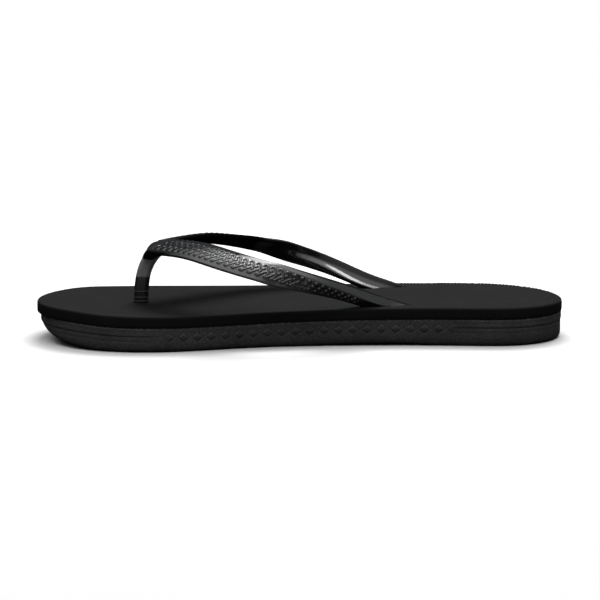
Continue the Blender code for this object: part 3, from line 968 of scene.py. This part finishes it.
def strap():
    lengths = arm_spacing()
    rings, height, share = band_rings(lengths)
    inner = to_frame(rings[::-1], -1)
    outer = to_frame(rings[1:], 1)
    piece = closed_loft("visual_strap", np.concatenate([inner, outer]), 180)
    relief = height / RELIEF_HEIGHT
    relief[:, FACE_COLUMNS + EDGE_COLUMNS :] = NOT_ON_FACE
    along = np.broadcast_to(lengths[:, None], share.shape)
    data = np.stack([both_arms(relief), both_arms(share), both_arms(along)], axis=-1)
    add_vectors(piece.data, "band", data.reshape(-1, 3))
    bend(piece, STRAP_BLEND_START)
    dress(piece, "strap", strap_rubber(), "strap")


def strap_hole(name, side):
    """A cutter that follows the end of one arm down into the footbed."""
    total = arm_length()
    lengths = np.linspace(total - STRAP_HOLE_LENGTH, total, STRAP_HOLE_RINGS)
    rings, _, _ = band_rings(lengths, grow=STRAP_CLEARANCE, relief=False)
    return closed_loft(name, to_frame(rings, side))


# Toe post


def post_section():
    """Unit outline of the post: flat panels near and far, with bevelled sides and soft corners."""
    dense = even_loop(np.array(POST_CORNERS), POST_CORNER_SAMPLES)
    return even_loop(gaussian_loop(dense, 1.0, POST_CORNER_SOFTNESS), POST_POINTS)


def post_rings(heights, grow=0.0):
    stations = np.array(POST_STATIONS)
    z = stations[:, 0]
    x_at, length_at, depth_at = (smooth_profile(list(zip(z, stations[:, k]))) for k in (1, 2, 3))
    outline = post_section()
    rings = []
    for height in heights:
        half = np.array([length_at(height) / 2 + grow, depth_at(height) / 2 + grow])
        plan = np.array([x_at(height), POST_Y]) + outline * half
        rings.append(np.column_stack([plan, np.full(len(plan), height)]))
    return np.array(rings)


def toe_post():
    low, high = POST_STATIONS[0][0], POST_STATIONS[-1][0]
    heights = np.linspace(low, high, POST_LEVELS)
    grow = np.zeros_like(heights)
    for height in POST_RING_HEIGHTS:
        away = (heights - POST_FOOT_Z - height) / POST_RING_WIDTH
        grow += POST_RING_SIZE * np.exp(-(away**2))
    rings = np.concatenate([post_rings([h], g) for h, g in zip(heights, grow)])
    piece = closed_loft("visual_toe_post", rings)
    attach(piece, FRONT)
    dress(piece, "toe_post", post_rubber(), "toe_post")


def post_hole():
    return closed_loft("post_slot", post_rings(POST_HOLE_HEIGHTS, POST_CLEARANCE))


# Materials


class Shader:
    """A procedural material that is written as a few chained calls."""

    def __init__(self, name):
        self.material = bpy.data.materials.new(name)
        self.material.use_nodes = True
        self.tree = self.material.node_tree
        self.surface = self.tree.nodes["Principled BSDF"]

    def node(self, kind, **values):
        made = self.tree.nodes.new(kind)
        for key, value in values.items():
            if key in made.inputs.keys():
                made.inputs[key].default_value = value
            else:
                setattr(made, key, value)
        return made

    def link(self, source, target):
        self.tree.links.new(source, target)

    def attribute(self, name):
        return self.node("ShaderNodeAttribute", attribute_name=name).outputs["Vector"]

    def part(self, vector, axis):
        split = self.node("ShaderNodeSeparateXYZ")
        self.link(vector, split.inputs[0])
        return split.outputs[axis]

    def place(self):
        """The object's own coordinates, in millimetres."""
        metres = self.node("ShaderNodeTexCoord").outputs["Object"]
        made = self.node("ShaderNodeVectorMath", operation="MULTIPLY")
        self.link(metres, made.inputs[0])
        made.inputs[1].default_value = (1 / MM, 1 / MM, 1 / MM)
        return made.outputs[0]

    def noise(self, vector, scale, detail=3.0, roughness=0.55):
        made = self.node("ShaderNodeTexNoise", Scale=scale, Detail=detail, Roughness=roughness)
        self.link(vector, made.inputs["Vector"])
        return made.outputs["Fac"]

    def put(self, value, socket):
        """Set a socket to a number or a colour, or link it to another node."""
        if isinstance(value, tuple):
            socket.default_value = (*value, 1.0)
        elif isinstance(value, (int, float)):
            socket.default_value = value
        else:
            self.link(value, socket)

    def math(self, operation, a, b=0.0):
        made = self.node("ShaderNodeMath", operation=operation)
        self.put(a, made.inputs[0])
        self.put(b, made.inputs[1])
        return made.outputs[0]

    def times(self, a, b):
        return self.math("MULTIPLY", a, b)

    def most(self, a, b):
        return self.math("MAXIMUM", a, b)

    def ramp(self, value, low, high, from_low=0.0, from_high=1.0):
        """A value mapped from one range to another, clamped."""
        made = self.node("ShaderNodeMapRange", clamp=True)
        self.link(value, made.inputs["Value"])
        made.inputs["From Min"].default_value = from_low
        made.inputs["From Max"].default_value = from_high
        made.inputs["To Min"].default_value = low
        made.inputs["To Max"].default_value = high
        return made.outputs["Result"]

    def rise(self, value, low, high):
        return self.ramp(value, 0.0, 1.0, low, high)

    def fall(self, value, low, high):
        return self.ramp(value, 1.0, 0.0, low, high)

    def mix(self, factor, a, b):
        made = self.node("ShaderNodeMix", data_type="RGBA")
        self.put(factor, made.inputs["Factor"])
        self.put(a, made.inputs[6])
        self.put(b, made.inputs[7])
        return made.outputs[2]

    def bump(self, height, distance, strength=1.0, under=None):
        made = self.node("ShaderNodeBump", Strength=strength, Distance=distance * MM)
        self.link(height, made.inputs["Height"])
        if under is not None:
            self.link(under, made.inputs["Normal"])
        return made.outputs["Normal"]

    def finish(self, color, roughness, normal=None, specular=0.5):
        inputs = self.surface.inputs
        self.put(color, inputs["Base Color"])
        self.put(roughness, inputs["Roughness"])
        self.put(specular, inputs["Specular IOR Level"])
        if normal is not None:
            self.link(normal, inputs["Normal"])
        return self.material


def footbed_foam():
    s = Shader("footbed_foam")
    rest = s.attribute("rest")
    cloud = s.noise(rest, 0.05, 4.0)
    grain_noise = s.noise(rest, 2.2, 2.0)
    pores = s.noise(rest, 0.9, 2.0)
    patches = s.rise(cloud, 0.3, 0.7)
    color = s.mix(patches, (0.0070, 0.0072, 0.0072), (0.0095, 0.0098, 0.0098))
    color = s.mix(s.ramp(grain_noise, 0.0, 0.6, 0.55, 0.8), color, (0.016, 0.016, 0.016))
    roughness = s.ramp(cloud, 0.78, 0.9, 0.3, 0.7)
    normal = s.bump(pores, 0.08, 0.5)
    normal = s.bump(grain_noise, 0.05, 0.6, under=normal)
    return s.finish(color, roughness, normal, specular=0.09)


def outsole_rubber():
    s = Shader("outsole_rubber")
    rest = s.attribute("rest")
    wall = s.attribute("wall")
    depth = s.part(wall, 1)
    on_diamond = s.part(wall, 2)
    fine = s.noise(rest, 1.6, 4.0, 0.6)
    cloud = s.noise(rest, 0.08, 3.0)
    speckle = s.rise(fine, 0.5, 0.72)
    base = s.mix(s.rise(depth, 6.0, 10.5), (0.062, 0.063, 0.061), (0.042, 0.043, 0.043))
    base = s.mix(s.times(speckle, 0.6), base, (0.16, 0.162, 0.156))
    base = s.mix(s.times(on_diamond, 0.35), base, (0.026, 0.027, 0.027))
    near_seam = s.fall(depth, 0.2, 1.4)
    glint = s.times(near_seam, s.rise(s.noise(rest, 0.75, 2.0), 0.5, 0.65))
    base = s.mix(s.times(glint, 0.7), base, (0.2, 0.2, 0.19))
    base = s.mix(s.ramp(cloud, 0.0, 0.35, 0.4, 0.7), base, (0.02, 0.02, 0.02))
    roughness = s.ramp(fine, 0.45, 0.7, 0.3, 0.7)
    normal = s.bump(fine, 0.22, 0.7)
    return s.finish(base, roughness, normal, specular=0.2)


def strap_rubber():
    """Black rubber with pale and dim places: painted light on the rear bevel and on the plain
    border midway along, painted shade on the underside, the nose's skirt and the rear face, and
    places that mirror less. The attribute "band" holds the height of the relief as a share of
    RELIEF_HEIGHT, the place across from the inner or upper edge (-1) to the outer or lower edge
    (1), and the distance from the nose."""
    s = Shader("strap_rubber")
    rest = s.attribute("rest")
    band = s.attribute("band")
    relief = s.part(band, 0)
    share = s.part(band, 1)
    length = s.part(band, 2)
    fine = s.noise(rest, 3.0, 3.0)
    cloud = s.noise(rest, 0.12, 3.0)
    on_relief = s.rise(relief, 0.15, 0.5)
    # The underside and the nose's skirt, painted very dark as painted shade
    off_face = s.fall(relief, -1.0, -0.6)
    under = s.times(off_face, s.fall(length, 62.0, 92.0))
    skirt = s.times(s.rise(share, 0.86, 0.9), s.fall(length, 15.0, 19.0))
    shade = s.most(skirt, under)
    # The bevel along the upper edge, painted paler as painted light, and the face below it,
    # painted very dark as painted shade, on the rear half
    rear = s.rise(length, 74.0, 96.0)
    rim_edge = s.ramp(length, -0.48, 0.0, 78.0, 118.0)
    rim = s.fall(s.math("SUBTRACT", share, rim_edge), -0.2, -0.02)
    painted_light_rim = s.times(s.times(rim, rear), s.rise(relief, -0.6, -0.2))
    shaded_rear_face = s.times(s.math("SUBTRACT", 1.0, rim), rear)
    # The front, whose rear limit slants across the band
    slanted = s.math("ADD", length, s.times(share, 13.0))
    front = s.fall(slanted, 30.0, 48.0)
    # The smooth border outside the relief, midway along, painted paler as painted light
    border = s.rise(share, 0.70, 0.78)
    painted_light_zone = s.times(s.rise(length, 54.0, 68.0), s.fall(length, 82.0, 96.0))
    base = s.rise(cloud, 0.35, 0.65)
    color = s.mix(base, (0.017, 0.018, 0.019), (0.026, 0.027, 0.028))
    color = s.mix(s.times(on_relief, s.ramp(front, 0.6, 0.1)), color, (0.045, 0.046, 0.047))
    # Painted shade: the rear face and the underside are painted very dark.
    painted_shade_dark = s.most(shaded_rear_face, s.times(off_face, 0.8))
    color = s.mix(painted_shade_dark, color, (0.006, 0.006, 0.006))
    # Painted light: the rear bevel is painted paler.
    color = s.mix(painted_light_rim, color, (0.1, 0.102, 0.103))
    # Painted light: the border is painted paler.
    color = s.mix(s.times(border, painted_light_zone), color, (0.06, 0.061, 0.062))
    # Painted shade: the underside and the nose's skirt are painted very dark.
    color = s.mix(shade, color, (0.004, 0.004, 0.004))
    matt = s.times(on_relief, s.fall(length, 68.0, 90.0))
    roughness = s.math("ADD", s.ramp(matt, 0.15, 0.4), s.ramp(fine, 0.0, 0.08, 0.35, 0.7))
    # Places that mirror less
    plain = s.most(on_relief, border)
    plain = s.most(plain, s.ramp(share, 0.85, 0.0, -0.1, 0.25))
    inner_edge = s.times(s.fall(share, -0.58, -0.46), s.fall(length, 52.0, 70.0))
    flange = s.times(s.times(off_face, 0.7), s.fall(share, -0.35, -0.1))
    dim = s.most(s.times(plain, front), shade)
    dim = s.most(s.most(dim, inner_edge), flange)
    specular = s.times(s.ramp(dim, 0.5, 0.0), s.ramp(matt, 1.0, 0.6))
    normal = s.bump(fine, 0.02, 0.5)
    s.surface.inputs["IOR"].default_value = 1.7
    return s.finish(color, roughness, normal, specular=specular)


def post_rubber():
    """Matt grey rubber, with painted shade under the strap's nose, dark and smooth below, with
    rings painted paler as painted highlights.
    """
    s = Shader("toe_post_rubber")
    place = s.place()
    fine = s.noise(place, 2.5, 3.0)
    cloud = s.noise(place, 0.2, 2.0)
    height = s.part(place, 2)
    upper = s.rise(s.math("ADD", height, cloud), 29.8, 30.8)
    shade_under_nose = s.fall(height, 39.4, 40.2)
    color = s.mix(s.rise(cloud, 0.35, 0.65), (0.22, 0.224, 0.224), (0.27, 0.274, 0.274))
    # Dark below and, as painted shade, dark under the strap's nose.
    color = s.mix(s.times(upper, shade_under_nose), (0.016, 0.016, 0.016), color)
    # Painted highlights: the rings are painted paler.
    for ring in POST_RING_HEIGHTS:
        away = s.math("ABSOLUTE", s.math("SUBTRACT", height, POST_FOOT_Z + ring))
        color = s.mix(s.ramp(away, 0.8, 0.0, 0.12, 0.3), color, (0.12, 0.122, 0.12))
    roughness = s.math("SUBTRACT", s.ramp(fine, 0.42, 0.5, 0.3, 0.7), s.ramp(upper, 0.2, 0.0))
    normal = s.bump(fine, 0.04, 0.5)
    return s.finish(color, roughness, normal, specular=0.5)


def plug_rubber():
    s = Shader("plug_rubber")
    place = s.place()
    fine = s.noise(place, 2.0, 3.0)
    color = s.mix(s.rise(fine, 0.3, 0.7), (0.022, 0.022, 0.022), (0.04, 0.04, 0.04))
    return s.finish(color, s.ramp(fine, 0.4, 0.6, 0.3, 0.7), s.bump(fine, 0.06, 0.6), specular=0.4)


def floor_paint():
    """Pale matt paint that fades to plain white away from the shoe. It shows pale only to the
    camera, so that it throws little light back on the dark rubber."""
    s = Shader("floor_paint")
    place = s.node("ShaderNodeTexCoord").outputs["Object"]
    cloud = s.noise(place, 8.0, 2.0)
    pale = s.mix(cloud, (0.86, 0.86, 0.86), (0.9, 0.9, 0.9))
    seen = s.node("ShaderNodeLightPath").outputs["Is Camera Ray"]
    s.finish(s.mix(seen, (0.04, 0.04, 0.04), pale), 0.9, specular=0.0)
    distance = s.node("ShaderNodeVectorMath", operation="LENGTH")
    s.link(place, distance.inputs[0])
    far = s.rise(distance.outputs["Value"], 0.25, 0.6)
    white = s.node("ShaderNodeEmission")
    both = s.node("ShaderNodeMixShader")
    s.link(s.times(far, seen), both.inputs[0])
    s.link(s.surface.outputs[0], both.inputs[1])
    s.link(white.outputs[0], both.inputs[2])
    s.link(both.outputs[0], s.tree.nodes["Material Output"].inputs["Surface"])
    return s.material


# Stage


def floor():
    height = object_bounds()[0].z - FLOOR_GAP
    bpy.ops.mesh.primitive_plane_add(size=FLOOR_SIZE, location=(0, 0, height))
    plane = bpy.context.object
    plane.name = "floor"
    plane.data.materials.append(floor_paint())
    plane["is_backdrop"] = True


def area_light(name, size, power, location, target):
    data = bpy.data.lights.new(name, "AREA")
    data.shape = "RECTANGLE"
    data.size, data.size_y = size
    data.energy = power
    light = bpy.data.objects.new(name, data)
    light.location = location
    light.rotation_euler = (Vector(target) - Vector(location)).to_track_quat("-Z", "Y").to_euler()
    bpy.context.scene.collection.objects.link(light)
    return light


def studio():
    """A softbox over the far side, a weak fill in front, a lit card on the floor and a dome that
    is bright only at its top."""
    area_light(
        "top_softbox", size=(0.6, 0.5), power=6.8, location=(0.06, 0.46, 0.8), target=(0, 0.2, 0)
    )
    area_light(
        "front_fill", size=(1.5, 0.8), power=3.0, location=(0, -1.2, 0.9), target=(0, 0, 0)
    )
    card = area_light(
        "front_card", size=(0.9, 0.4), power=0.4, location=(0, -0.3, 0.001), target=(0, -0.3, 1)
    )
    card.visible_camera = False
    world = bpy.data.worlds.new("studio")
    bpy.context.scene.world = world
    world.use_nodes = True
    nodes, links = world.node_tree.nodes, world.node_tree.links
    background = nodes["Background"]
    direction = nodes.new("ShaderNodeTexCoord")
    split = nodes.new("ShaderNodeSeparateXYZ")
    links.new(direction.outputs["Generated"], split.inputs[0])
    dome = nodes.new("ShaderNodeMapRange")
    dome.interpolation_type = "SMOOTHSTEP"
    for name, value in (("From Min", 0.5), ("From Max", 1.0), ("To Min", 0.03), ("To Max", 1.7)):
        dome.inputs[name].default_value = value
    links.new(split.outputs["Z"], dome.inputs["Value"])
    seen = nodes.new("ShaderNodeLightPath").outputs["Is Camera Ray"]
    strength = nodes.new("ShaderNodeMath")
    strength.operation = "MAXIMUM"
    links.new(seen, strength.inputs[0])
    links.new(dome.outputs["Result"], strength.inputs[1])
    links.new(strength.outputs[0], background.inputs["Strength"])
    background.inputs["Color"].default_value = (1.0, 1.0, 1.0, 1.0)
    bpy.context.scene.view_settings.view_transform = "Standard"


def camera():
    """A long lens that looks across the shoe's inner side, ten degrees above the floor."""
    elevation = math.radians(CAMERA_ELEVATION)
    data = bpy.data.cameras.new("camera")
    data.sensor_width = 36.0
    data.lens = CAMERA_LENS
    made = bpy.data.objects.new("camera", data)
    height = CAMERA_CENTRE_HEIGHT + CAMERA_DISTANCE * math.sin(elevation)
    made.location = (0.0, -CAMERA_DISTANCE * math.cos(elevation), height)
    made.rotation_euler = (math.radians(90 - CAMERA_TILT), 0.0, 0.0)
    bpy.context.scene.collection.objects.link(made)
    bpy.context.scene.camera = made


footbed()
outsole()
strap()
toe_post()
plug("toe_plug", FRONT)
plug("inner_plug", REAR)
plug("outer_plug", REAR)
floor()
studio()
camera()
